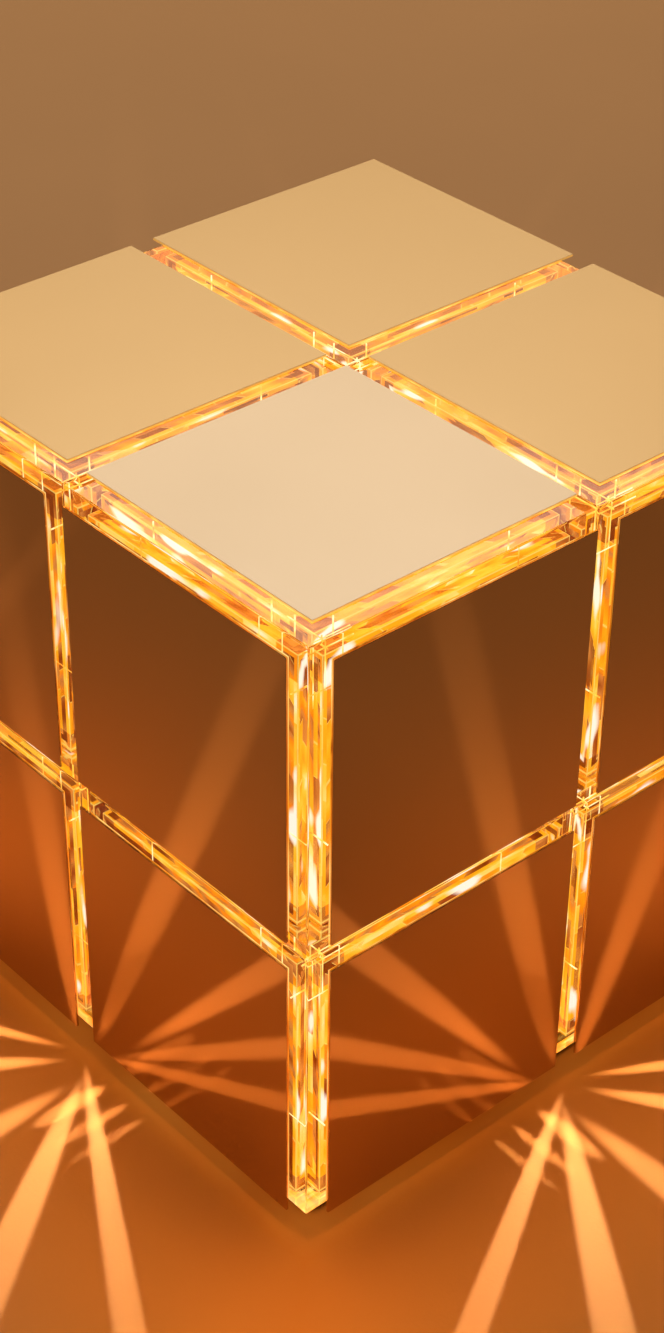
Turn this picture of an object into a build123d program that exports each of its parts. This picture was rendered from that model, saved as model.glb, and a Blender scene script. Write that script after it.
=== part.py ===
from build123d import *
import os

# Internally lit display cube: eight clear acrylic blocks faced with thin metal plates.
# Millimetres, +Z up. The origin is the centre of the square footprint, on the surface that the
# cube stands on. -Y is the front, +X the right, and the power inlet is at the back.
# Each plate is set in from its block's near edges and hangs over its far ones, so that from the
# front left corner every block shows a bare margin and the channel behind it stays hidden.

os.makedirs("parts", exist_ok=True)

# --- driving dimensions -------------------------------------------------------------------
cube_height = 200.0
plate_side = 88.0  # every facing plate is this square
plate_gap = 8.0  # between neighbouring plates, side to side
plate_thick = 0.6
plate_corner = 0.4  # radius of a plate's four corners
plate_break = 0.12  # broken edge of a plate's outer face
overhang = 4.0  # how far a plate reaches past its block's far edge
top_margin = 7.0  # bare acrylic between the top face and the upper row of plates
level_gap = 8.5  # between the lower and upper rows of plates
arris = 0.5  # polished chamfer on every edge of an acrylic block

# --- worked out from them -----------------------------------------------------------------
plate_pitch = plate_side + plate_gap
half = plate_pitch  # half the footprint, which runs from the near plates to the far overhang
channel = plate_gap - overhang  # air between neighbouring blocks
block_width = plate_pitch - channel - plate_thick
near_face = -half + plate_thick  # outer face of the near blocks, behind their plates
far_face = near_face + 2 * block_width + channel
middle = (near_face + far_face) / 2  # centre of the channels, and of all that is inside
half_channel = channel / 2
plate_mids = [-plate_side / 2, plate_side / 2 + plate_gap]  # centres of the near and far plates
upper_plate_top = cube_height - top_margin
upper_plate_base = upper_plate_top - plate_side
lower_plate_top = upper_plate_base - level_gap
lower_plate_base = lower_plate_top - plate_side
block_floor = lower_plate_base + overhang  # underside of the lower blocks
block_height = plate_side + top_margin - overhang
lower_block_top = block_floor + block_height
block_top = cube_height - plate_thick
upper_block_base = block_top - block_height

# name, underside and top of each layer of blocks
layers = [
    ("lower", block_floor, lower_block_top),
    ("upper", upper_block_base, block_top),
]
plate_rows = [("lower", lower_plate_base), ("upper", upper_plate_base)]
quarters = [
    ("front_left", -1, -1),
    ("front_right", 1, -1),
    ("back_left", -1, 1),
    ("back_right", 1, 1),
]


# a level plane whose own origin is over the middle of the blocks
def level(height):
    return Plane(origin=(middle, middle, height))


# labels a finished sub-part and writes it under that name
def save(part, name):
    part.label = name
    export_step(part, f"parts/{name}.step")


# --- acrylic blocks -----------------------------------------------------------------------
block_mid = half_channel + block_width / 2  # a block's centre, from the middle

for layer, base, top in layers:
    for quarter, side_x, side_y in quarters:
        with BuildPart() as block:
            with BuildSketch(level(base)):
                with Locations((side_x * block_mid, side_y * block_mid)):
                    Rectangle(block_width, block_width)
            extrude(amount=top - base)
            chamfer(block.edges(), length=arris)
        save(block.part, f"block_{quarter}_{layer}")

# --- facing plates on top -----------------------------------------------------------------
for quarter, side_x, side_y in quarters:
    with BuildPart() as top_plate:
        with BuildSketch(Plane.XY.offset(block_top)):
            with Locations((plate_mids[side_x > 0], plate_mids[side_y > 0])):
                RectangleRounded(plate_side, plate_side, plate_corner)
        extrude(amount=plate_thick)
        chamfer(top_plate.faces().sort_by(Axis.Z)[-1].edges(), length=plate_break)
    save(top_plate.part, f"top_plate_{quarter}")

# --- facing plates round the sides --------------------------------------------------------
# Each wall's plane stands on the acrylic with its own x axis to the right, seen from outside.
# The front and left plates hang over like the top ones; the others are centred on their blocks.
centred = [middle - block_mid, middle + block_mid]
walls = [
    ("front", Plane(origin=(0, near_face, 0), x_dir=(1, 0, 0), z_dir=(0, -1, 0)), plate_mids),
    ("right", Plane(origin=(far_face, 0, 0), x_dir=(0, 1, 0), z_dir=(1, 0, 0)), centred),
    ("back", Plane(origin=(0, far_face, 0), x_dir=(-1, 0, 0), z_dir=(0, 1, 0)), [-x for x in centred]),
    ("left", Plane(origin=(near_face, 0, 0), x_dir=(0, -1, 0), z_dir=(-1, 0, 0)), [-y for y in plate_mids]),
]

for wall, wall_plane, wall_mids in walls:
    for row, row_base in plate_rows:
        for half_name, plate_mid in zip(("a", "b"), sorted(wall_mids)):
            with BuildPart() as wall_plate:
                with BuildSketch(wall_plane):
                    with Locations((plate_mid, row_base + plate_side / 2)):
                        RectangleRounded(plate_side, plate_side, plate_corner)
                extrude(amount=plate_thick)
                outer_face = wall_plate.faces().sort_by(Axis(wall_plane.origin, wall_plane.z_dir))[-1]
                chamfer(outer_face.edges(), length=plate_break)
            save(wall_plate.part, f"{wall}_plate_{row}_{half_name}")

# --- clear spacers that hold the blocks apart ---------------------------------------------
spacer_radius = 4.0
spacer_reach = 34.0  # a spacer's centre, from the middle of the channels
level_reach = 30.0
mid_heights = [(base + top) / 2 for _, base, top in layers]

with BuildPart() as level_spacers:
    with BuildSketch(level(lower_block_top)):
        with GridLocations(2 * level_reach, 2 * level_reach, 2, 2):
            Circle(spacer_radius)
    extrude(amount=upper_block_base - lower_block_top)
save(level_spacers.part, "level_spacers")

with BuildPart() as cross_spacers:
    with BuildSketch(Plane.YZ.offset(middle - half_channel)):
        with Locations(*[(middle + side * spacer_reach, z) for side in (-1, 1) for z in mid_heights]):
            Circle(spacer_radius)
    extrude(amount=channel)
save(cross_spacers.part, "cross_spacers")

with BuildPart() as fore_aft_spacers:
    with BuildSketch(Plane.XZ.offset(-middle - half_channel)):
        with Locations(*[(middle + side * spacer_reach, z) for side in (-1, 1) for z in mid_heights]):
            Circle(spacer_radius)
    extrude(amount=channel)
save(fore_aft_spacers.part, "fore_aft_spacers")

# --- light post in the shaft where the two upright channels cross --------------------------
post_side = 3.2
post_top = block_top - 9.0
post_screw_radius = 1.0
post_screw_depth = 8.0

with BuildPart() as light_post:
    with BuildSketch(level(block_floor)):
        Rectangle(post_side, post_side)
        Circle(post_screw_radius, mode=Mode.SUBTRACT)
    extrude(amount=post_screw_depth)
    with BuildSketch(level(block_floor + post_screw_depth)):
        Rectangle(post_side, post_side)
    extrude(amount=post_top - block_floor - post_screw_depth)
    chamfer(light_post.faces().sort_by(Axis.Z)[-1].edges(), length=plate_break)
save(light_post.part, "light_post")

strip_width = 3.0
strip_thick = 0.6
strip_foot = 2.0  # clear of the base
diode_length = 2.0
diode_width = 1.4
diode_height = 0.5
diode_pitch = 5.5
strip_base = block_floor + strip_foot
strip_length = post_top - strip_base - 1.0
diode_count = int((strip_length - diode_length) // diode_pitch)
post_front = middle - post_side / 2
post_back = middle + post_side / 2
strip_faces = [
    ("front", Plane(origin=(middle, post_front, 0), x_dir=(1, 0, 0), z_dir=(0, -1, 0))),
    ("right", Plane(origin=(post_back, middle, 0), x_dir=(0, 1, 0), z_dir=(1, 0, 0))),
    ("back", Plane(origin=(middle, post_back, 0), x_dir=(-1, 0, 0), z_dir=(0, 1, 0))),
    ("left", Plane(origin=(post_front, middle, 0), x_dir=(0, -1, 0), z_dir=(-1, 0, 0))),
]

for facing, strip_plane in strip_faces:
    strip_mid = strip_base + strip_length / 2
    with BuildPart() as led_strip:
        with BuildSketch(strip_plane):
            with Locations((0, strip_mid)):
                Rectangle(strip_width, strip_length)
        extrude(amount=strip_thick)
        with BuildSketch(strip_plane.offset(strip_thick)):
            with Locations((0, strip_mid)):
                with GridLocations(0, diode_pitch, 1, diode_count):
                    Rectangle(diode_width, diode_length)
        extrude(amount=diode_height)
    save(led_strip.part, f"led_strip_{facing}")

# --- base tray ----------------------------------------------------------------------------
tray_side = 172.0
tray_corner = 5.0
foot_height = 2.0
cover_thick = 1.5
tray_floor = foot_height + cover_thick  # underside of the tray, on the cover
web_top = block_floor - 3.0  # floor of the pocket that holds the light board
web_base = web_top - 1.5  # roof of the pocket that holds the driver
light_pocket_side = 150.0
diffuser_side = 156.0
diffuser_thick = 1.0
boss_side = 12.0
driver_pocket_width = 90.0
driver_pocket_depth = 64.0
driver_pocket_mid = 50.0  # centre of the driver pocket, behind the middle
wire_hole_radius = 3.0
wire_hole_y = 24.0
inlet_width = 9.0
inlet_height = 3.2
inlet_depth = 7.4
inlet_slack = 0.1
screw_reach = 81.0  # cover screws, from the middle
screw_core = 1.05  # tapped hole radius for an M2.5 screw
screw_depth = 5.0
board_thick = 1.2
board_base = web_base - board_thick
inlet_mid = board_base - inlet_height / 2
inlet_plane = Plane(origin=(middle, middle + tray_side / 2, 0), x_dir=(1, 0, 0), z_dir=(0, -1, 0))

# one at each corner and the middle of each edge but the back one, where the inlet is
cover_screw_places = [(x, y) for x in (-screw_reach, screw_reach) for y in (-screw_reach, 0, screw_reach)]
cover_screw_places.append((0, -screw_reach))
screw_stations = [(middle + x, middle + y) for x, y in cover_screw_places]

with BuildPart() as base_tray:
    with BuildSketch(level(tray_floor)):
        RectangleRounded(tray_side, tray_side, tray_corner)
    extrude(amount=block_floor - tray_floor)
    # stepped pocket on top: the light board below, the diffuser on the step
    with BuildSketch(level(web_top)):
        Rectangle(light_pocket_side, light_pocket_side)
        Rectangle(boss_side, boss_side, mode=Mode.SUBTRACT)
    extrude(amount=block_floor - web_top, mode=Mode.SUBTRACT)
    with BuildSketch(level(block_floor - diffuser_thick)):
        Rectangle(diffuser_side, diffuser_side)
        Rectangle(boss_side, boss_side, mode=Mode.SUBTRACT)
    extrude(amount=diffuser_thick, mode=Mode.SUBTRACT)
    # driver pocket underneath, open to the back through the inlet slot
    with BuildSketch(level(tray_floor)):
        with Locations((0, driver_pocket_mid)):
            RectangleRounded(driver_pocket_width, driver_pocket_depth, 2.0)
    extrude(amount=web_base - tray_floor, mode=Mode.SUBTRACT)
    with BuildSketch(inlet_plane):
        with Locations((0, inlet_mid)):
            Rectangle(inlet_width + 2 * inlet_slack, inlet_height + 2 * inlet_slack)
    extrude(amount=inlet_depth, mode=Mode.SUBTRACT)
    with Locations((middle, middle + wire_hole_y, web_top)):
        Hole(wire_hole_radius, depth=web_top - web_base)
    # clearance for the post's screw and its head
    with Locations(Location((middle, middle, tray_floor), (180, 0, 0))):
        CounterBoreHole(post_screw_radius + 0.15, 2.6, 2.2, depth=block_floor - tray_floor)
    with Locations(*[Location((x, y, tray_floor), (180, 0, 0)) for x, y in screw_stations]):
        Hole(screw_core, depth=screw_depth)
save(base_tray.part, "base_tray")

# --- light board and diffuser --------------------------------------------------------------
light_board_side = light_pocket_side - 1.0
light_board_thick = 1.0
board_diode_side = 3.0
board_diode_height = 0.7
board_diode_pitch = 24.0
board_diode_rows = 6

with BuildPart() as light_board:
    with BuildSketch(level(web_top)):
        Rectangle(light_board_side, light_board_side)
        Rectangle(boss_side + 1.0, boss_side + 1.0, mode=Mode.SUBTRACT)
    extrude(amount=light_board_thick)
    with BuildSketch(level(web_top + light_board_thick)):
        with GridLocations(board_diode_pitch, board_diode_pitch, board_diode_rows, board_diode_rows):
            Rectangle(board_diode_side, board_diode_side)
    extrude(amount=board_diode_height)
save(light_board.part, "light_board")

with BuildPart() as diffuser:
    with BuildSketch(level(block_floor - diffuser_thick)):
        Rectangle(diffuser_side - 0.4, diffuser_side - 0.4)
        Rectangle(boss_side + 0.4, boss_side + 0.4, mode=Mode.SUBTRACT)
    extrude(amount=diffuser_thick)
save(diffuser.part, "diffuser")

# --- driver board, inlet and switch --------------------------------------------------------
driver_width = 64.0
driver_depth = 46.0
driver_y = driver_pocket_mid + driver_pocket_depth / 2 - 0.5 - driver_depth / 2
button_place = (-18.0, 44.0)
chips = [
    # x, y, width, depth, height below the board
    (16.0, 62.0, 10.0, 10.0, 2.8),
    (16.0, 46.0, 8.0, 6.0, 1.6),
    (2.0, 58.0, 5.0, 5.0, 1.2),
    (2.0, 44.0, 6.0, 4.0, 2.0),
]

with BuildPart() as driver_board:
    with BuildSketch(level(board_base)):
        with Locations((0, driver_y)):
            RectangleRounded(driver_width, driver_depth, 1.5)
    extrude(amount=board_thick)
    for chip_x, chip_y, chip_width, chip_depth, chip_height in chips:
        with BuildSketch(level(board_base)):
            with Locations((chip_x, chip_y)):
                Rectangle(chip_width, chip_depth)
        extrude(amount=-chip_height)
save(driver_board.part, "driver_board")

with BuildPart() as power_inlet:
    with BuildSketch(inlet_plane):
        with Locations((0, inlet_mid)):
            RectangleRounded(inlet_width, inlet_height, 1.4)
    extrude(amount=inlet_depth)
    with BuildSketch(inlet_plane):
        with Locations((0, inlet_mid)):
            RectangleRounded(inlet_width - 0.7, inlet_height - 0.7, 1.1)
            RectangleRounded(6.4, 0.7, 0.2, mode=Mode.SUBTRACT)
    extrude(amount=inlet_depth - 1.2, mode=Mode.SUBTRACT)
save(power_inlet.part, "power_inlet")

with BuildPart() as lead_wires:
    with BuildSketch(level(web_base)):
        with Locations((0, wire_hole_y)):
            with GridLocations(2.4, 0, 2, 1):
                Circle(0.8)
    extrude(amount=web_top - web_base)
save(lead_wires.part, "lead_wires")

button_travel = 1.0
switch_side = 6.0
switch_height = 1.5
plunger_radius = 1.5
plunger_drop = 0.15
switch_base = board_base - switch_height

with BuildPart() as switch_body:
    with BuildSketch(level(switch_base)):
        with Locations(button_place):
            RectangleRounded(switch_side, switch_side, 0.6)
    extrude(amount=switch_height)
    with BuildSketch(level(switch_base - plunger_drop)):
        with Locations(button_place):
            Circle(plunger_radius)
    extrude(amount=plunger_drop)
save(switch_body.part, "switch_body")

# --- power button under the base -----------------------------------------------------------
button_radius = 4.0
button_slack = 0.08
flange_radius = 6.0
flange_gap = 0.05
flange_base = tray_floor + flange_gap
flange_top = switch_base - plunger_drop - flange_gap - button_travel
button_face = 1.0  # lower face of the button, above the surface the cube stands on

with BuildPart() as power_button:
    with BuildSketch(level(button_face)):
        with Locations(button_place):
            Circle(button_radius)
    extrude(amount=flange_base - button_face)
    with BuildSketch(level(flange_base)):
        with Locations(button_place):
            Circle(flange_radius)
    extrude(amount=flange_top - flange_base)
    fillet(power_button.edges().sort_by(Axis.Z)[0], radius=0.5)
save(power_button.part, "power_button")

spring_radius = 5.2
spring_wire = 0.2
spring_turns = 2.5
spring_gap = 0.03
spring_base = flange_top + spring_wire + spring_gap
spring_height = board_base - spring_wire - spring_gap - spring_base

with BuildPart() as button_spring:
    spring_foot = (middle + button_place[0], middle + button_place[1], spring_base)
    with BuildLine() as spring_line:
        Helix(spring_height / spring_turns, spring_height, spring_radius, center=spring_foot)
    with BuildSketch(Plane(origin=spring_line.line @ 0, z_dir=spring_line.line % 0)):
        Circle(spring_wire)
    sweep(is_frenet=True)
save(button_spring.part, "button_spring")

# --- cover, screws and feet ----------------------------------------------------------------
screw_shank = 1.0
screw_head = 2.3
screw_head_depth = 1.3
foot_radius = 7.0
foot_reach = 66.0

with BuildPart() as base_cover:
    with BuildSketch(level(foot_height)):
        RectangleRounded(tray_side, tray_side, tray_corner)
        with Locations(button_place):
            Circle(button_radius + button_slack, mode=Mode.SUBTRACT)
    extrude(amount=cover_thick)
    with Locations(*[Location((x, y, foot_height), (180, 0, 0)) for x, y in screw_stations]):
        CounterSinkHole(screw_core + 0.3, screw_head + 0.1, depth=cover_thick)
save(base_cover.part, "base_cover")

with BuildPart() as cover_screws:
    with BuildSketch(level(foot_height)):
        with Locations(*cover_screw_places):
            Circle(screw_head)
    extrude(amount=screw_head_depth, taper=45)
    with BuildSketch(level(foot_height + screw_head_depth)):
        with Locations(*cover_screw_places):
            Circle(screw_shank)
    extrude(amount=screw_depth)
save(cover_screws.part, "cover_screws")

with BuildPart() as post_screw:
    with BuildSketch(level(tray_floor + 0.2)):
        Circle(2.4)
        RegularPolygon(1.0, 6, mode=Mode.SUBTRACT)
    extrude(amount=1.0)
    with BuildSketch(level(tray_floor + 1.2)):
        Circle(2.4)
    extrude(amount=1.0)
    with BuildSketch(level(tray_floor + 2.2)):
        Circle(post_screw_radius - 0.05)
    extrude(amount=block_floor - tray_floor - 2.2 + post_screw_depth - 1.0)
save(post_screw.part, "post_screw")

for quarter, side_x, side_y in quarters:
    with BuildPart() as foot:
        with BuildSketch(level(0)):
            with Locations((side_x * foot_reach, side_y * foot_reach)):
                Circle(foot_radius)
        extrude(amount=foot_height)
        fillet(foot.faces().sort_by(Axis.Z)[0].edges(), radius=0.6)
    save(foot.part, f"foot_{quarter}")
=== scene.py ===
from math import atan2, cos, radians, sin, tan

import bpy
import numpy as np
from mathutils import Matrix, Vector


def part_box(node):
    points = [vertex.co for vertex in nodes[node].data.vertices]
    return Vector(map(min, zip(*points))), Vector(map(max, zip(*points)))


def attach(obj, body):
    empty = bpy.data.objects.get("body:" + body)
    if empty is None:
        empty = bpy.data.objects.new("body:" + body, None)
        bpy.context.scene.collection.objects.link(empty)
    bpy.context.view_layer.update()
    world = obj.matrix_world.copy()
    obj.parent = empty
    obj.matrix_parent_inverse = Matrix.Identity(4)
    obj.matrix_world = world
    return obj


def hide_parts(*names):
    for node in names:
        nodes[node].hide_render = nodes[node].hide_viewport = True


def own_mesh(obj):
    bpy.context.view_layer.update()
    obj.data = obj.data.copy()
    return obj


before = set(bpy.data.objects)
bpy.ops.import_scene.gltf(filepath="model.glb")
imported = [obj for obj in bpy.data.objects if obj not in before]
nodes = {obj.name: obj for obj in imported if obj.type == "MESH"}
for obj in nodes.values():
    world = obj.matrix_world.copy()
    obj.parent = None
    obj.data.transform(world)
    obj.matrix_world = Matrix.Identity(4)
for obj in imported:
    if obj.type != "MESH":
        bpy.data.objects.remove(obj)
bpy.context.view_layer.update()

mm = 0.001
scene = bpy.context.scene


class Wire:
    # one output socket: wire * 2 + 1 adds the Math nodes that work it out
    def __init__(self, finish, socket):
        self.finish = finish
        self.socket = socket

    def maths(self, operation, *others, clamp=False):
        values = dict(enumerate((self,) + others))
        return self.finish.node("ShaderNodeMath", {"operation": operation, "use_clamp": clamp}, values)

    def __add__(self, other):
        return self.maths("ADD", other)

    def __radd__(self, other):
        return self.maths("ADD", other)

    def __mul__(self, other):
        return self.maths("MULTIPLY", other)

    def __rmul__(self, other):
        return self.maths("MULTIPLY", other)

    def __truediv__(self, other):
        return self.maths("DIVIDE", other)

    def __sub__(self, other):
        return self.maths("SUBTRACT", other)

    def __rsub__(self, other):
        return self.maths("MULTIPLY", -1.0) + other

    def __pow__(self, other):
        return self.maths("POWER", other)

    def __abs__(self):
        return self.maths("ABSOLUTE")

    def above(self, level):
        return self.maths("GREATER_THAN", level)

    def below(self, level):
        return self.maths("LESS_THAN", level)

    def top(self, other):
        return self.maths("MAXIMUM", other)

    def clamped(self):
        return self.maths("MULTIPLY", 1.0, clamp=True)


class Finish:
    # one material, built up node by node
    def __init__(self, name):
        self.material = bpy.data.materials.new(name)
        self.material.use_nodes = True
        self.tree = self.material.node_tree
        self.tree.nodes.clear()
        self.output = self.tree.nodes.new("ShaderNodeOutputMaterial")

    def node(self, kind, settings=None, values=None, out=0):
        made = self.tree.nodes.new(kind)
        for name, value in (settings or {}).items():
            if name == "stops":
                setStops(made.color_ramp, value)
            else:
                setattr(made, name, value)
        for name, value in (values or {}).items():
            self.feed(made.inputs[name], value)
        return Wire(self, made.outputs[out])

    def feed(self, socket, value):
        if isinstance(value, Wire):
            self.tree.links.new(value.socket, socket)
        else:
            socket.default_value = value

    def place(self):
        return self.node("ShaderNodeTexCoord", out="Object")

    def attribute(self, name, part):
        made = self.node("ShaderNodeAttribute", {"attribute_name": name})
        return Wire(self, made.socket.node.outputs[part])

    def axes(self, place):
        split = self.node("ShaderNodeSeparateXYZ", values={"Vector": place})
        owner = split.socket.node
        return [Wire(self, owner.outputs[axis]) for axis in "XYZ"]

    def vector(self, x=0.0, y=0.0, z=0.0):
        return self.node("ShaderNodeCombineXYZ", values={"X": x, "Y": y, "Z": z})

    def noise(self, place, scale, detail=3.0, roughness=0.5, distortion=0.0):
        values = {"Vector": place, "Scale": scale, "Detail": detail, "Roughness": roughness,
                  "Distortion": distortion}
        return self.node("ShaderNodeTexNoise", values=values)

    def cells(self, place, scale):
        return self.node("ShaderNodeTexVoronoi", values={"Vector": place, "Scale": scale})

    def chance(self, vector):
        return self.node("ShaderNodeTexWhiteNoise", values={"Vector": vector})

    def stretched(self, place, scale):
        return self.node("ShaderNodeMapping", values={"Vector": place, "Scale": scale})

    def ramp(self, value, stops):
        return self.node("ShaderNodeValToRGB", {"stops": stops}, {"Fac": value})

    def blend(self, share, first, second):
        # the mix node's colours are its inputs 6 and 7, and the mixed colour is its output 2
        values = {"Factor": share, 6: first, 7: second}
        return self.node("ShaderNodeMix", {"data_type": "RGBA"}, values, out=2)

    def bump(self, height, strength, distance):
        values = {"Height": height, "Strength": strength, "Distance": distance}
        return self.node("ShaderNodeBump", values=values)

    def principled(self, values):
        return self.node("ShaderNodeBsdfPrincipled", values=values)

    def surface(self, shader):
        self.feed(self.output.inputs["Surface"], shader)
        return self.material

    def volume(self, shader):
        self.feed(self.output.inputs["Volume"], shader)


def setStops(ramp, stops):
    ramp.elements[0].position, ramp.elements[0].color = stops[0]
    ramp.elements[-1].position, ramp.elements[-1].color = stops[-1]
    for position, colour in stops[1:-1]:
        ramp.elements.new(position).color = colour


def tone(colour, level=1.0):
    return (*[channel * level for channel in colour], 1.0)


def stations(low, high, radius, cuts=(), segments=2):
    # along one axis: where the rounded box's core stands, and how far the surface leans there
    # the lean goes from -1 to 0 over the low edge, stays 0 across the flat, and rises to 1 over the high one
    turn = np.tan(np.linspace(0.0, np.pi / 4, segments + 1))
    lowEdge = np.full(segments + 1, low + radius)
    highEdge = np.full(segments + 1, high - radius)
    hold = np.concatenate([lowEdge, cuts, highEdge])
    lean = np.concatenate([-turn[::-1], np.zeros(len(cuts)), turn])
    return hold, lean


def roundedBox(low, high, radius, cuts=((), (), ()), segments=2):
    # a box grown from a smaller core: place = core point + radius * direction, one grid for each side,
    # with direction = (lean along u, lean along v, 1 out of the side) made one long
    lines = [stations(low[k], high[k], radius, cuts[k], segments) for k in range(3)]
    places, leans, quads, sides = [], [], [], []
    count = 0
    for axis in range(3):
        across, up = (axis + 1) % 3, (axis + 2) % 3
        for sign in (-1, 1):
            holdU, leanU = lines[across]
            holdV, leanV = lines[up]
            shape = (len(holdU), len(holdV))
            core = np.zeros(shape + (3,))
            core[..., across] = holdU[:, None]
            core[..., up] = holdV[None, :]
            core[..., axis] = high[axis] - radius if sign > 0 else low[axis] + radius
            way = np.zeros(shape + (3,))
            way[..., across] = leanU[:, None]
            way[..., up] = leanV[None, :]
            way[..., axis] = sign
            way /= np.linalg.norm(way, axis=-1, keepdims=True)
            index = count + np.arange(shape[0] * shape[1]).reshape(shape)
            ring = [index[:-1, :-1], index[1:, :-1], index[1:, 1:], index[:-1, 1:]]
            if sign < 0:
                ring.reverse()
            quad = np.stack(ring, axis=-1).reshape(-1, 4)
            places.append((core + radius * way).reshape(-1, 3))
            leans.append(way.reshape(-1, 3))
            quads.append(quad)
            sides.append(np.full(len(quad), 2 * axis + (sign > 0)))
            count += index.size
    return weld(*[np.concatenate(lists) for lists in (places, leans, quads, sides)])


def weld(places, normals, faces, marks):
    # points that fall together become one
    keys = np.round(places * 1e7).astype(np.int64)
    _, first, same = np.unique(keys, axis=0, return_index=True, return_inverse=True)
    faces = same.reshape(-1)[faces]
    return {"places": places[first], "normals": normals[first], "faces": faces, "marks": marks}


def join(shapes):
    # several shapes as one mesh
    shift = np.cumsum([0] + [len(shape["places"]) for shape in shapes[:-1]])
    return {
        "places": np.concatenate([shape["places"] for shape in shapes]),
        "normals": np.concatenate([shape["normals"] for shape in shapes]),
        "faces": np.concatenate([shape["faces"] + start for shape, start in zip(shapes, shift)]),
        "marks": np.concatenate([shape["marks"] for shape in shapes]),
    }


def meshPiece(name, shape, materials, picks=None):
    mesh = bpy.data.meshes.new(name)
    mesh.from_pydata(shape["places"].tolist(), [], shape["faces"].tolist() + shape.get("caps", []))
    for material in materials:
        mesh.materials.append(material)
    if picks is not None:
        mesh.polygons.foreach_set("material_index", picks.astype(np.int32))
    mesh.shade_smooth()
    mesh.normals_split_custom_set_from_vertices(shape["normals"].tolist())
    mesh.update()
    piece = bpy.data.objects.new(name, mesh)
    scene.collection.objects.link(piece)
    return piece


def corners(node):
    low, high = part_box(node)
    return np.array(low), np.array(high)


def dress(names, material):
    for name in names:
        mesh = nodes[name].data
        mesh.materials.clear()
        mesh.materials.append(material)


# the room, in metres: warm is a painted glow and shade, the amber light and the shade beside the cube painted
# into the floor's colour, and the pair after it says where that painted glow starts to fade and where it has
# gone, measured out from the cube's middle; the lamps all face the cube's axis at the height aim
room = {
    "floor": (0.82, 0.62, 0.42), "floorRoughness": 0.6, "floorSize": 16.0, "floorLines": 9,
    "warm": (0.82, 0.40, 0.12), "warmTo": (0.10, 0.28), "warmFall": 0.6,
    "world": (0.80, 0.44, 0.20), "worldStrength": 0.16, "aim": 0.1,
    "softbox": {"place": (1.05, 1.30, 1.42), "size": (1.8, 1.1), "watts": 13.0,
                "colour": (1.0, 0.63, 0.33)},
    "side": {"place": (-1.5, -0.2, 0.9), "size": (1.0, 1.0), "watts": 1.2,
             "colour": (1.0, 0.60, 0.32)},
    "sheen": {"place": (0.50, 0.58, 0.95), "size": (0.5, 0.5), "watts": 0.7,
              "colour": (0.8, 0.9, 1.0)},
}


def makeFloor():
    finish = Finish("paleFloor")
    place = finish.place()
    cloud = finish.noise(place, 6.0, 4.0)
    grain = finish.noise(place, 900.0, 2.0)
    plain = finish.ramp(cloud, [(0.3, tone(room["floor"], 0.96)), (0.7, tone(room["floor"]))])
    # painted glow and shade: the amber light and the shade beside the cube are painted into the floor's colour,
    # and fade with the larger of |x| and |y|
    x, y, _ = finish.axes(place)
    near, far = room["warmTo"]
    fade = ((abs(x).top(abs(y)) - near) / (far - near)).clamped()
    colour = finish.blend(fade ** room["warmFall"], tone(room["warm"]), plain)
    shader = finish.principled({"Base Color": colour, "Roughness": room["floorRoughness"],
                                "Normal": finish.bump(grain, 0.15, 0.4 * mm)})
    half, lines = room["floorSize"] / 2, room["floorLines"]
    grid = np.linspace(-half, half, lines)
    x, y = np.meshgrid(grid, grid, indexing="ij")
    places = np.stack([x, y, np.zeros_like(x)], -1).reshape(-1, 3)
    index = np.arange(lines * lines).reshape(lines, lines)
    ring = [index[:-1, :-1], index[1:, :-1], index[1:, 1:], index[:-1, 1:]]
    faces = np.stack(ring, -1).reshape(-1, 4)
    normals = np.tile([0.0, 0.0, 1.0], (lines * lines, 1))
    shape = {"places": places, "normals": normals, "faces": faces}
    floor = meshPiece("floor", shape, [finish.surface(shader)])


def hang(name, lamp, place, aim, scale=(1.0, 1.0, 1.0)):
    holder = bpy.data.objects.new(name, lamp)
    holder.location = place
    holder.rotation_euler = (Vector(aim) - Vector(place)).to_track_quat("-Z", "Y").to_euler()
    holder.scale = scale
    holder.visible_camera = False
    scene.collection.objects.link(holder)
    return holder


def addPanel(name, place, aim, size, watts, colour, spread=180.0):
    lamp = bpy.data.lights.new(name, "AREA")
    lamp.shape, lamp.size, lamp.size_y = "RECTANGLE", size[0], size[1]
    lamp.energy, lamp.color, lamp.spread = watts, colour, radians(spread)
    return hang(name, lamp, place, aim)


def makeRoomLight():
    world = bpy.data.worlds.new("studio")
    world.use_nodes = True
    background = world.node_tree.nodes["Background"]
    background.inputs["Color"].default_value = tone(room["world"])
    background.inputs["Strength"].default_value = room["worldStrength"]
    scene.world = world
    for name in ("softbox", "side", "sheen"):
        light = room[name]
        panel = addPanel(name, light["place"], (0.0, 0.0, room["aim"]), light["size"], light["watts"],
                         light["colour"])
        panel.visible_diffuse = name != "sheen"


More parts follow.
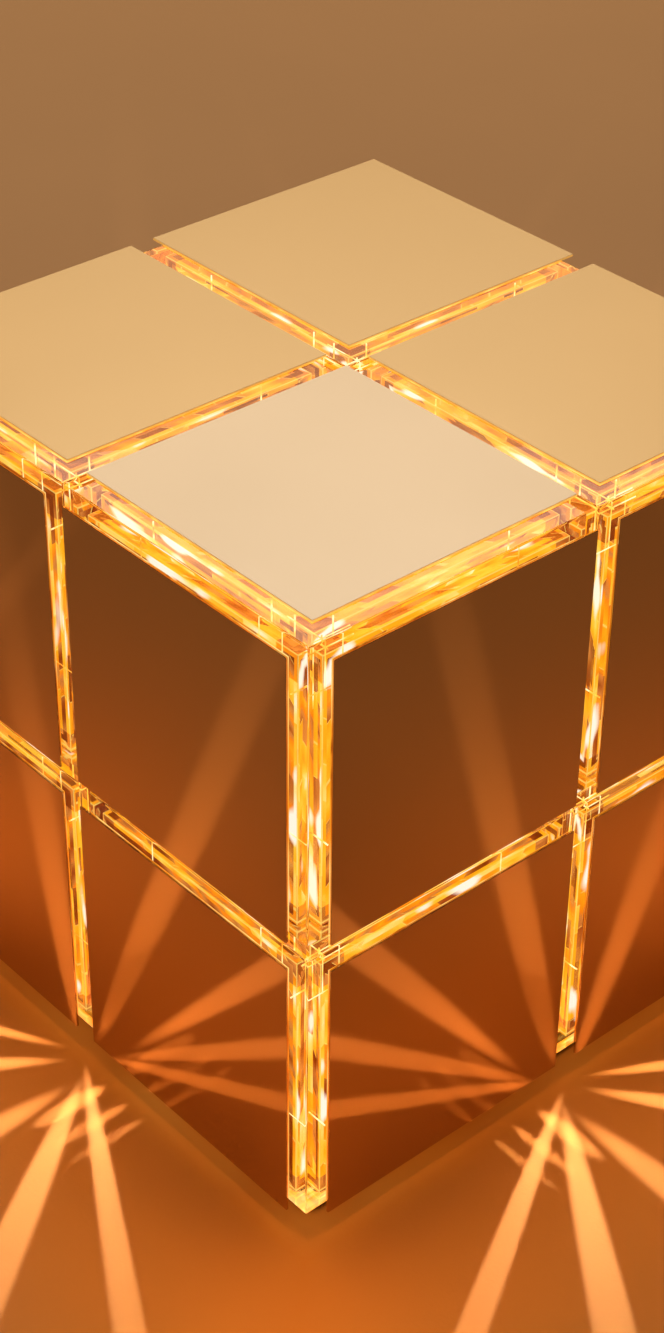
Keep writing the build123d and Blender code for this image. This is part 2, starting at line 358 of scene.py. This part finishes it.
# the light that leaves through the gaps, in mm, degrees and watts: blades fan out over the floor from the
# foot of each upright gap; fan and stub say how far the lamp stands behind and over the foot, how far its cone
# opens to each side of its middle, and how soft its rim is
# each of the blades: turn from straight out, foot beside the gap, half width, watts, and how far beyond the
# foot it starts; each of the stubs, short stripes at the foot: beside the gap, half width, watts
# a skirt panel hangs before each wall and a corner panel before each corner, and both face out and down
escape = {
    "colour": (1.0, 0.58, 0.27), "lampRadius": 0.6,
    "fan": {"behind": 50.0, "height": 90.0, "lift": 27.0, "blend": 0.55},
    "blades": [(0, -3, 3.0, 0.95, 10), (-36, 2, 2.3, 1.25, 6), (36, 2, 2.3, 1.25, 6),
               (-60, 6, 1.6, 1.2, 4), (60, 6, 1.6, 1.2, 4)],
    "stub": {"behind": 24.0, "height": 62.0, "lift": 9.0, "blend": 0.5}, "stubStart": 3.0,
    "stubs": [(-10, 2.6, 0.30), (-20, 1.8, 0.20), (-28, 1.4, 0.12)],
    "low": (1.0, 0.34, 0.04), "lowHeight": 80.0, "lowDown": 60.0,
    "skirt": {"before": 8.0, "out": 70.0, "size": (210.0, 12.0), "watts": 0.050, "spread": 140.0},
    "corner": {"before": 10.0, "out": 50.0, "size": (40.0, 12.0), "watts": 0.025, "spread": 150.0},
}


def addBlade(name, foot, turn, halfWidth, watts, start, cone):
    # a spot lamp squeezed sideways, so its round cone becomes an upright blade
    lamp = bpy.data.lights.new(name, "SPOT")
    lamp.energy, lamp.color = watts, escape["colour"]
    lamp.spot_size, lamp.spot_blend = radians(2 * cone["lift"]), cone["blend"]
    lamp.shadow_soft_size = escape["lampRadius"] * mm
    lamp.use_shadow = False
    behind, height, lift = cone["behind"] * mm, cone["height"] * mm, radians(cone["lift"])
    out = Vector((sin(turn), -cos(turn), 0.0))
    place = foot - out * behind + Vector((0.0, 0.0, height))
    # the cone's lower edge meets the floor at start, so its middle leans up from there by the lift
    reach = height / tan(atan2(height, behind + start * mm) - lift)
    squeeze = tan(radians(halfWidth)) / tan(lift)
    hang(name, lamp, place, foot + out * (reach - behind), (squeeze, 1.0, 1.0))


def addLowPanel(name, way, face, panel):
    # a wide, low panel for the glow on the floor beside the cube; no mirror and no clear piece shows it
    start = way * (abs(face) + panel["before"] * mm) + Vector((0.0, 0.0, escape["lowHeight"] * mm))
    aim = start + way * panel["out"] * mm - Vector((0.0, 0.0, escape["lowDown"] * mm))
    size = [side * mm for side in panel["size"]]
    glow = addPanel(name, start, aim, size, panel["watts"], escape["low"], panel["spread"])
    glow.visible_glossy = False
    glow.visible_transmission = False


def makeEscapingLight():
    near = corners("front_plate_lower_a")[0][1]
    far = corners("right_plate_lower_a")[1][0]
    walls = {"front": (0.0, near), "right": (90.0, far), "back": (180.0, far), "left": (-90.0, near)}
    for wall, (heading, face) in walls.items():
        turn = radians(heading)
        out = Vector((sin(turn), -cos(turn), 0.0))
        sense = -1.0 if wall in ("left", "back") else 1.0
        along = Vector((cos(turn), sin(turn), 0.0)) * sense
        for count, (lean, beside, halfWidth, watts, start) in enumerate(escape["blades"]):
            foot = out * abs(face) + along * beside * mm
            addBlade(f"blade_{wall}_{count}", foot, turn + sense * radians(lean), halfWidth, watts,
                     start, escape["fan"])
        for count, (beside, halfWidth, watts) in enumerate(escape["stubs"]):
            foot = out * abs(face) + along * beside * mm
            addBlade(f"stub_{wall}_{count}", foot, turn, halfWidth, watts, escape["stubStart"],
                     escape["stub"])
        side = Vector((cos(turn), sin(turn), 0.0))
        addLowPanel("skirt_" + wall, out, face, escape["skirt"])
        addLowPanel("corner_" + wall, out + side, face, escape["corner"])


view = {"azimuth": -41.44, "elevation": 35.11, "distance": 0.7686, "roll": 0.64, "lens": 140.3,
        "sensor": 36.0, "clip": (0.02, 60.0), "aim": (1.5 * mm, 6.2 * mm, 95.7 * mm)}


def makeCamera():
    turn, lift, roll = radians(view["azimuth"]), radians(view["elevation"]), radians(view["roll"])
    back = Vector((sin(turn) * cos(lift), -cos(turn) * cos(lift), sin(lift)))
    right = Vector((0, 0, 1)).cross(back).normalized()
    up = back.cross(right)
    right, up = right * cos(roll) + up * sin(roll), up * cos(roll) - right * sin(roll)
    camera = bpy.data.cameras.new("camera")
    camera.lens, camera.sensor_width, camera.sensor_fit = view["lens"], view["sensor"], "HORIZONTAL"
    camera.clip_start, camera.clip_end = view["clip"]
    holder = bpy.data.objects.new("camera", camera)
    stand = Matrix.Translation(Vector(view["aim"]) + back * view["distance"])
    holder.matrix_world = stand @ Matrix((right, up, back)).transposed().to_4x4()
    scene.collection.objects.link(holder)
    scene.camera = holder


# a block's core, a glowing inner box that carries painted light, stands in from its near and upper faces by
# inset, from its far faces by thinInset, and from its lower face by floorInset; the film under a plate, whose
# glow is painted light too, goes beyond the plate's edge by a hairline, a thin painted highlight along that
# edge
acrylic = {"edgeRadius": 0.5 * mm, "index": 1.49, "density": 16.0, "tint": (0.99, 0.74, 0.18),
           "inset": 7.4 * mm, "thinInset": 2.0 * mm, "floorInset": 0.7 * mm, "hairline": 0.35 * mm,
           "coreRadius": 0.25 * mm, "cutMargin": 1.0 * mm, "firstSeed": 1.7, "seedStep": 4.3}
# the painted light on the cores, drawn as facets of painted glow, in mm from the core's near top corner, with
# tones as places on the painted glow ramp's stops: distances fold back at foldAt, rows are the distances in
# from the edge where one row ends, facets are about length long, ends are the distances along the edge before
# and beyond which it is darker, a painted shade, and wall is how near a side's plane a point counts as on it
paintedFacets = {"foldAt": 41.0, "rows": (1.5, 3.3, 6.4), "length": 13.0, "wander": (0.37, 2.2), "slant": 0.9,
          "wall": 0.4, "wallSeeds": (5.3, 9.7), "ends": (8.0, 77.0), "endsDark": 0.30,
          "rowTones": (0.40, 0.38, 0.10, 0.06), "spread": (0.46, 0.24), "slope": 1.2,
          "drift": (0.065, 0.13), "driftTone": 0.7, "lineWidth": 0.025, "lineShare": 0.55,
          "edgeLine": 0.30, "hotFrom": 0.645, "hotRise": 13.0, "glow": 1.05}
paintedGlowStops = [(0.00, (0.12, 0.010, 0.0, 1)), (0.10, (0.24, 0.030, 0.002, 1)), (0.20, (0.42, 0.12, 0.020, 1)),
             (0.29, (0.60, 0.21, 0.042, 1)), (0.37, (0.88, 0.22, 0.004, 1)), (0.48, (0.98, 0.34, 0.005, 1)),
             (0.61, (1.0, 0.47, 0.012, 1)), (0.76, (1.0, 0.60, 0.05, 1)), (0.90, (1.0, 0.78, 0.22, 1)),
             (1.0, (1.0, 0.93, 0.66, 1))]
# thin glowing rods inside each block that draw painted glints, bright lines of painted light, in mm from its
# near top corner: where the three long ones cross and how far they reach, the upright posts (x, y), and the
# level rungs (depth, the axis they follow), which lie rungIn inside the near walls
glintRodPlan = {"half": 0.17, "start": 0.9, "bevel": 0.05, "cross": (6.2, 2.6, 3.2), "reach": 15.0,
         "posts": [(6.9, 13.0), (6.9, 21.5), (6.9, 67.0), (13.5, 6.9), (71.0, 6.9)],
         "postTop": 0.8, "postEnd": 24.0, "rungs": [(17.0, "x"), (62.0, "y")], "rungIn": 6.9,
         "rungEnd": 16.0}


def acrylicFinish(name):
    finish = Finish(name)
    place = finish.place()
    swell = finish.noise(place, 60.0, 1.0)
    shader = finish.principled({
        "Base Color": (1.0, 1.0, 1.0, 1.0), "Roughness": 0.0, "IOR": acrylic["index"],
        "Transmission Weight": 1.0, "Normal": finish.bump(swell, 0.16, 0.4 * mm)})
    finish.volume(finish.node("ShaderNodeVolumeAbsorption", values={
        "Color": (*acrylic["tint"], 1.0), "Density": acrylic["density"]}))
    return finish.surface(shader)


def uneven(finish, wire, step, seed):
    # which facet a place falls in, and how near it is to a border, for facets of uneven length
    pace, sway = paintedFacets["wander"]
    wander = finish.noise(finish.vector(wire / step * pace, seed, 0.0), 1.0, 1.0)
    scaled = wire / step + wander * sway
    return scaled.maths("FLOOR"), scaled.maths("PINGPONG", 0.5)


def foldedLight(finish):
    # painted light: rows of painted glow run beside the block's edges, and each is cut across, square or
    # slanted, into flat facets
    # fromCorner holds the three distances (mm) from the core's near top corner: on a face the smallest is 0,
    # the next is how far in from the edge, and the sum less that is how far along the edge
    corner = finish.attribute("fromCorner", "Vector")
    ways = finish.axes(corner)
    folds = [way.maths("PINGPONG", paintedFacets["foldAt"]) for way in ways]
    walls = [fold.below(paintedFacets["wall"]) * own for fold, own in zip(folds, paintedFacets["wallSeeds"])]
    seed = finish.attribute("blockSeed", "Fac") + walls[0] + walls[1]
    longest = folds[0].top(folds[1]).top(folds[2])
    least = folds[0].maths("MINIMUM", folds[1]).maths("MINIMUM", folds[2])
    across = folds[0] + folds[1] + folds[2] - longest - least
    along = ways[0] + ways[1] + ways[2] - across
    first, second, third = [across.above(border) for border in paintedFacets["rows"]]
    row = first + second + third
    rowPick = finish.chance(finish.vector(row, seed, 2.0))
    lean = (rowPick * 3.0).maths("FLOOR") - 1.0
    stretch = along + across * lean * paintedFacets["slant"] + rowPick * 61.0
    block, cutEdge = uneven(finish, stretch, paintedFacets["length"], seed + row * 3.3)
    pick = finish.chance(finish.vector(block, row, seed))
    pace, rise = paintedFacets["drift"]
    drift = finish.noise(finish.vector(along * pace, across * rise, seed), 1.0, 0.5)
    # painted shade: the glow is darker near both ends of the edge
    (start, end), dark = paintedFacets["ends"], paintedFacets["endsDark"]
    ends = along.below(start) * dark + along.above(end) * dark
    slope = (cutEdge - 0.25) * (rowPick - 0.5) * paintedFacets["slope"]
    plain, firstDark, secondLight, thirdLight = paintedFacets["rowTones"]
    base = plain - first * firstDark + second * secondLight + third * thirdLight
    spread, wider = paintedFacets["spread"]
    level = base + pick * (spread + first * wider) + slope + (drift - 0.5) * paintedFacets["driftTone"] - ends
    # painted glints: bright lines along some facet borders and along the edge
    lines = cutEdge.below(paintedFacets["lineWidth"]) * pick.above(paintedFacets["lineShare"])
    lines = lines + across.below(paintedFacets["edgeLine"])
    # painted highlight: near-white hot spots
    paintedHotSpots = ((drift - paintedFacets["hotFrom"]) * paintedFacets["hotRise"] - first * 0.2).clamped()
    return level, lines.clamped(), paintedHotSpots


def coreFinish():
    # the core is no lamp: its glow is painted light, standing in for the inside light bent through the acrylic,
    # with painted glints and painted hot spots
    finish = Finish("foldedLight")
    level, lines, paintedHotSpots = foldedLight(finish)
    glow = finish.ramp(level, paintedGlowStops)
    lit = finish.blend(lines * 0.7, glow, (1.0, 0.72, 0.16, 1))
    lit = finish.blend(paintedHotSpots, lit, (1.0, 0.98, 0.86, 1))
    shader = finish.principled({"Base Color": (0.12, 0.04, 0.005, 1), "Roughness": 0.15,
                                "Emission Color": lit, "Emission Strength": paintedFacets["glow"]})
    return finish.surface(shader)


def paintedGlintFinish():
    # the rods are no lamps: their glow is painted light, painted glints inside the block
    finish = Finish("glowingSeam")
    place = finish.place()
    cloud = finish.noise(place, 150.0, 2.0)
    glow = finish.ramp(cloud, [(0.30, (0.9, 0.22, 0.01, 1)), (0.48, (1.0, 0.60, 0.08, 1)),
                               (0.62, (1.0, 0.90, 0.50, 1))])
    shader = finish.principled({"Base Color": (0.3, 0.1, 0.01, 1), "Roughness": 0.3, "Emission Color": glow,
                                "Emission Strength": 1.3})
    return finish.surface(shader)


def paintedGlintRods(corner):
    # thin square rods of painted glints at the block's near top corner, where z runs down
    cross = np.array(glintRodPlan["cross"]) * mm * [1, 1, -1]
    half, start, bevel = glintRodPlan["half"] * mm, glintRodPlan["start"] * mm, glintRodPlan["bevel"] * mm
    inside = glintRodPlan["rungIn"]
    rods = []
    for axis in range(3):
        low = corner + cross - half
        high = corner + cross + half
        sense = 1 if axis < 2 else -1
        ends = [corner[axis] + sense * start, corner[axis] + sense * glintRodPlan["reach"] * mm]
        low[axis], high[axis] = sorted(ends)
        rods.append(roundedBox(low, high, bevel, segments=1))
    for x, y in glintRodPlan["posts"]:
        top = corner + np.array([x, y, -glintRodPlan["postTop"]]) * mm
        low = top - [half, half, (glintRodPlan["postEnd"] - glintRodPlan["postTop"]) * mm]
        rods.append(roundedBox(low, top + [half, half, 0.0], bevel, segments=1))
    for drop, way in glintRodPlan["rungs"]:
        run = 0 if way == "x" else 1
        low = corner + np.array([inside, inside, -drop]) * mm - half
        high = low + 2 * half
        low[run] = corner[run] + start
        high[run] = corner[run] + glintRodPlan["rungEnd"] * mm
        rods.append(roundedBox(low, high, bevel, segments=1))
    return join(rods)


def filmFinish():
    # the film is no lamp: its glow is painted light, standing in for the inside light on the plates' backs
    finish = Finish("bondedFilm")
    place = finish.place()
    paintedGlowVeins = finish.noise(finish.stretched(place, (1.0, 1.0, 0.35)), 45.0, 3.0, 0.6, 1.5)
    glow = finish.ramp(paintedGlowVeins, [(0.35, (0.30, 0.07, 0.005, 1)), (0.48, (0.8, 0.30, 0.02, 1)),
                               (0.66, (1.0, 0.70, 0.22, 1))])
    shader = finish.principled({"Base Color": (1.0, 0.6, 0.2, 1), "Metallic": 1.0, "Roughness": 0.12,
                                "Emission Color": glow, "Emission Strength": 1.1})
    return finish.surface(shader)


def coveredSpans(name):
    # each outer side of a block and the rectangle of it that lies on a plate, or on the tray
    column = "left" if "left" in name else "right"
    depth = "front" if "front" in name else "back"
    level = "upper" if name.endswith("upper") else "lower"
    spans = {}
    blockLow, blockHigh = corners(name)
    middle = (blockLow + blockHigh) / 2
    for axis, wall in enumerate((column, depth)):
        plates = [corners(f"{wall}_plate_{level}_{half}") for half in "ab"]
        other = 1 - axis
        best = min(plates, key=lambda plate: abs((plate[0] + plate[1])[other] / 2 - middle[other]))
        spans[2 * axis + (wall in ("right", "back"))] = best
    if level == "upper":
        spans[5] = corners(f"top_plate_{depth}_{column}")
    else:
        # the lower block's underside takes the glowing film too: painted light over the tray
        spans[4] = (blockLow, blockHigh)
    return spans


def makeBlocks():
    materials = [acrylicFinish("amberAcrylic"), filmFinish(), coreFinish(), paintedGlintFinish()]
    inset, thin, hairline = acrylic["inset"], acrylic["thinInset"], acrylic["hairline"]
    radius, margin = acrylic["edgeRadius"], acrylic["cutMargin"]
    for count, name in enumerate(sorted(name for name in nodes if name.startswith("block_"))):
        low, high = corners(name)
        spans = coveredSpans(name)
        cuts = []
        for axis in range(3):
            lines = []
            for side, (plateLow, plateHigh) in spans.items():
                if side // 2 != axis:
                    lines += [plateLow[axis] - hairline, plateHigh[axis] + hairline]
            inside = [line for line in lines if low[axis] + margin < line < high[axis] - margin]
            cuts.append(np.unique(np.round(inside, 6)))
        shell = roundedBox(low, high, radius, cuts)
        middle = shell["places"][shell["faces"]].mean(axis=1)
        picks = np.zeros(len(shell["marks"]))
        flatLow, flatHigh = low + radius, high - radius
        # faces under a plate, and a hairline past its edge, take the film with its painted glow
        for side, (plateLow, plateHigh) in spans.items():
            under = shell["marks"] == side
            for axis in range(3):
                if axis != side // 2:
                    under &= middle[:, axis] > max(plateLow[axis] - hairline, flatLow[axis])
                    under &= middle[:, axis] < min(plateHigh[axis] + hairline, flatHigh[axis])
            picks[under] = 1
        coreLow = low + np.array([inset, inset, acrylic["floorInset"]])
        coreHigh = high - np.array([thin, thin, inset])
        core = roundedBox(coreLow, coreHigh, acrylic["coreRadius"])
        rods = paintedGlintRods(np.array([low[0], low[1], high[2]]))
        shape = join([shell, core, rods])
        coreParts, rodParts = np.full(len(core["marks"]), 2), np.full(len(rods["marks"]), 3)
        picks = np.concatenate([picks, coreParts, rodParts])
        piece = meshPiece("polished_" + name, shape, materials, picks)
        fromCorner = np.abs(shape["places"] - [coreLow[0], coreLow[1], coreHigh[2]]) / mm
        vectors = piece.data.attributes.new("fromCorner", "FLOAT_VECTOR", "POINT")
        vectors.data.foreach_set("vector", fromCorner.reshape(-1))
        seeds = piece.data.attributes.new("blockSeed", "FLOAT", "POINT")
        seed = acrylic["firstSeed"] + acrylic["seedStep"] * count
        seeds.data.foreach_set("value", np.full(len(shape["places"]), seed))
        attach(piece, "cube")
        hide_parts(name)


# painted highlight: in any plate finish the band between top - depth and top (mm) glows a little, where the top
# plates' edges lie, like all edges of a lit sheet
paintedRimGlow = {"top": 199.95, "depth": 0.6, "colour": (1.0, 0.50, 0.10), "glow": 0.55}


def plateFinish(name, colour, metal, roughness, dust):
    finish = Finish(name)
    place = finish.place()
    cloud = finish.noise(place, 14.0, 4.0)
    fine = finish.noise(place, 2400.0, 2.0)
    speck = finish.cells(place, 260.0).below(0.02) * finish.noise(place, 40.0, 1.0).above(0.6)
    rough = cloud * 0.06 + fine * 0.05 + (roughness - 0.055)
    tint = finish.blend(speck * dust, tone(colour), tone(colour, 0.45))
    z = finish.axes(place)[2]
    # painted highlight: the rim band glows
    edge = z.below(paintedRimGlow["top"] * mm) * z.above((paintedRimGlow["top"] - paintedRimGlow["depth"]) * mm)
    rim = finish.blend(edge, (0, 0, 0, 1), tone(paintedRimGlow["colour"]))
    shader = finish.principled({"Base Color": tint, "Metallic": metal, "Roughness": rough,
                                "Emission Color": rim, "Emission Strength": paintedRimGlow["glow"],
                                "Normal": finish.bump(fine, 0.05, 0.02 * mm)})
    return finish.surface(shader)


def dressPlates():
    champagne = plateFinish("champagneSatin", (0.70, 0.61, 0.37), 0.5, 0.37, 0.3)
    # the near top plate keeps real dust specks, and its paler colour is a painted sheen, the light that plate
    # catches
    dustAndPaintedSheen = plateFinish("champagneDusty", (0.79, 0.80, 0.71), 0.5, 0.40, 0.9)
    bronze = plateFinish("bronzeSatin", (0.60, 0.40, 0.23), 1.0, 0.06, 0.3)
    dress([name for name in nodes if name.startswith("top_plate")], champagne)
    dress(["top_plate_front_left"], dustAndPaintedSheen)
    dress([name for name in nodes if "_plate_" in name and not name.startswith("top_")], bronze)


# the finish of each plain piece: colour, metal, roughness, how fine its grain is (per metre), how the grain is
# drawn out along x, y and z, and how deep it stands (mm)
finishes = {
    "brushedPost": ((0.86, 0.84, 0.80), 1.0, 0.30, 900.0, (1.0, 1.0, 0.03), 0.02),
    "powderCoat": ((0.045, 0.026, 0.018), 0.0, 0.48, 1500.0, (1.0, 1.0, 1.0), 0.05),
    "moulded": ((0.030, 0.028, 0.027), 0.0, 0.42, 1900.0, (1.0, 1.0, 1.0), 0.03),
    "cableSleeve": ((0.34, 0.035, 0.020), 0.0, 0.38, 700.0, (1.0, 1.0, 1.0), 0.03),
    "satinButton": ((0.80, 0.62, 0.42), 1.0, 0.26, 1300.0, (0.08, 1.0, 1.0), 0.01),
    "springSteel": ((0.52, 0.50, 0.47), 1.0, 0.24, 1400.0, (1.0, 1.0, 0.2), 0.01),
    "platedScrew": ((0.66, 0.64, 0.58), 1.0, 0.28, 1600.0, (1.0, 1.0, 1.0), 0.01),
    "footRubber": ((0.022, 0.021, 0.020), 0.0, 0.72, 1200.0, (1.0, 1.0, 1.0), 0.06),
}
wearing = {
    "brushedPost": ["light_post"],
    "powderCoat": ["base_tray", "base_cover"],
    "moulded": ["power_inlet", "switch_body"],
    "cableSleeve": ["lead_wires"],
    "satinButton": ["power_button"],
    "platedScrew": ["cover_screws", "post_screw"],
    "footRubber": sorted(name for name in nodes if name.startswith("foot_")),
}
# the light boards' diodes stand at every pitch (mm) and reach side to each side (mm)
boards = {"pitch": 6.0, "side": 1.3, "white": (0.80, 0.76, 0.70), "diode": (1.0, 0.62, 0.24),
          "board": (0.34, 0.17, 0.06), "mask": (0.012, 0.10, 0.045), "copper": (0.030, 0.19, 0.075),
          "pad": (0.72, 0.66, 0.52)}


def grainFinish(name):
    colour, metal, roughness, scale, drawn, depth = finishes[name]
    finish = Finish(name)
    place = finish.place()
    cloud = finish.noise(place, 38.0, 3.0)
    grain = finish.noise(finish.stretched(place, drawn), scale, 2.0)
    worn = finish.ramp(cloud * 0.6 + grain * 0.4, [(0.32, tone(colour, 0.80)), (0.66, tone(colour, 1.12))])
    shader = finish.principled({"Base Color": worn, "Metallic": metal,
                                "Roughness": cloud * 0.10 + grain * 0.12 + (roughness - 0.11),
                                "Normal": finish.bump(grain, 0.3, depth * mm)})
    return finish.surface(shader)


def diodeFinish(name, strength):
    # a white board with a small warm diode at every pitch: on a flat board, a place is near a grid point if any
    # two of the three folded distances are small
    finish = Finish(name)
    place = finish.place()
    ways = [(axis * (1 / mm)).maths("PINGPONG", boards["pitch"] / 2) for axis in finish.axes(place)]
    tight = [way.below(boards["side"]) for way in ways]
    diode = (tight[0] * tight[1] + tight[1] * tight[2] + tight[0] * tight[2]).clamped()
    cloud = finish.noise(place, 300.0, 3.0)
    # painted glow: between the diodes the board glows too, in the board colour, though only the diodes are
    # lamps
    glow = finish.blend(diode, tone(boards["board"]), tone(boards["diode"]))
    base = finish.ramp(cloud, [(0.3, tone(boards["white"], 0.9)), (0.7, tone(boards["white"]))])
    shader = finish.principled({"Base Color": base, "Roughness": cloud * 0.15 + 0.3, "Emission Color": glow,
                                "Emission Strength": strength, "Normal": finish.bump(diode, 0.4, 0.2 * mm)})
    return finish.surface(shader)


def driverFinish():
    # green lacquer over copper lanes, with bare pads where two sets of lanes cross
    finish = Finish("driverBoard")
    place = finish.place()
    x, y, _ = finish.axes(place)
    sway = finish.noise(place, 60.0, 1.0) * 9.0
    lanes = ((x * (1 / mm) + sway.maths("FLOOR")) * 0.5).maths("PINGPONG", 0.5).below(0.17)
    rungs = (y * (1 / mm) * 0.25).maths("PINGPONG", 0.5).below(0.10)
    cloud = finish.noise(place, 240.0, 3.0)
    lacquer = finish.blend(lanes, tone(boards["mask"]), tone(boards["copper"]))
    colour = finish.blend(lanes * rungs, lacquer, tone(boards["pad"]))
    shader = finish.principled({"Base Color": colour, "Metallic": lanes * rungs,
                                "Roughness": cloud * 0.2 + 0.22, "Coat Weight": 0.4,
                                "Normal": finish.bump(lanes, 0.3, 0.04 * mm)})
    return finish.surface(shader)


def opalFinish():
    finish = Finish("opalDiffuser")
    place = finish.place()
    cloud = finish.noise(place, 30.0, 2.0)
    soft = finish.ramp(cloud, [(0.2, (0.78, 0.42, 0.13, 1)), (0.8, (1.0, 0.60, 0.22, 1))])
    shader = finish.principled({"Base Color": soft, "Roughness": cloud * 0.1 + 0.4, "Emission Color": soft,
                                "Emission Strength": 1.2})
    return finish.surface(shader)


def dressInside():
    strips = ["led_strip_" + facing for facing in ("front", "right", "back", "left")]
    dress(strips, diodeFinish("stripDiodes", 6.0))
    dress(["light_board"], diodeFinish("boardDiodes", 2.0))
    dress(["diffuser"], opalFinish())
    dress(["driver_board"], driverFinish())
    dress(["level_spacers", "cross_spacers", "fore_aft_spacers"], acrylicFinish("clearSpacer"))
    for name, worn in wearing.items():
        dress(worn, grainFinish(name))


# wire is the radius of the wire, and travel is how far the button goes in
spring = {"turns": 2.5, "wire": 0.2 * mm, "steps": 180, "sides": 12, "travel": 1.0 * mm}


def makeSpring():
    # a tube along a helix: the wire's middle is at radius * (cos t, sin t), rising steadily with t, and round
    # it stands a ring, middle + wire * (cos s * outward - sin s * upright), closed by a flat cap at each end
    low, high = corners("button_spring")
    wire = spring["wire"]
    middle = (low + high) / 2
    radius = (high[0] - low[0]) / 2 - wire
    rise = (high[2] - low[2] - 2 * wire) / (spring["turns"] * 2 * np.pi)
    t = np.linspace(0.0, spring["turns"] * 2 * np.pi, spring["steps"] + 1)
    s = np.linspace(0.0, 2 * np.pi, spring["sides"], endpoint=False)
    flat = np.zeros_like(t)
    outward = np.stack([np.cos(t), np.sin(t), flat], -1)
    along = np.stack([-radius * np.sin(t), radius * np.cos(t), flat + rise], -1)
    upright = np.cross(outward, along)
    upright /= np.linalg.norm(upright, axis=-1, keepdims=True)
    climb = np.stack([flat, flat, rise * t], -1)
    centre = outward * radius + climb + [middle[0], middle[1], low[2] + wire]
    cosine, sine = np.cos(s)[None, :, None], np.sin(s)[None, :, None]
    way = cosine * outward[:, None] - sine * upright[:, None]
    places = centre[:, None] + wire * way
    index = np.arange(places.shape[0] * places.shape[1]).reshape(places.shape[:2])
    after = np.roll(index, -1, axis=1)
    faces = np.stack([index[:-1], after[:-1], after[1:], index[1:]], -1).reshape(-1, 4)
    shape = {"places": places.reshape(-1, 3), "normals": way.reshape(-1, 3), "faces": faces,
             "caps": [index[0][::-1].tolist(), index[-1].tolist()]}
    piece = meshPiece("coiled_spring", shape, [grainFinish("springSteel")])
    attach(piece, "cube")
    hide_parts("button_spring")
    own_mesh(piece)


print("room")
makeFloor()
makeRoomLight()
makeEscapingLight()
makeCamera()
print("acrylic")
makeBlocks()
print("plates")
dressPlates()
print("inside")
dressInside()
makeSpring()

scene.view_settings.view_transform = "Standard"
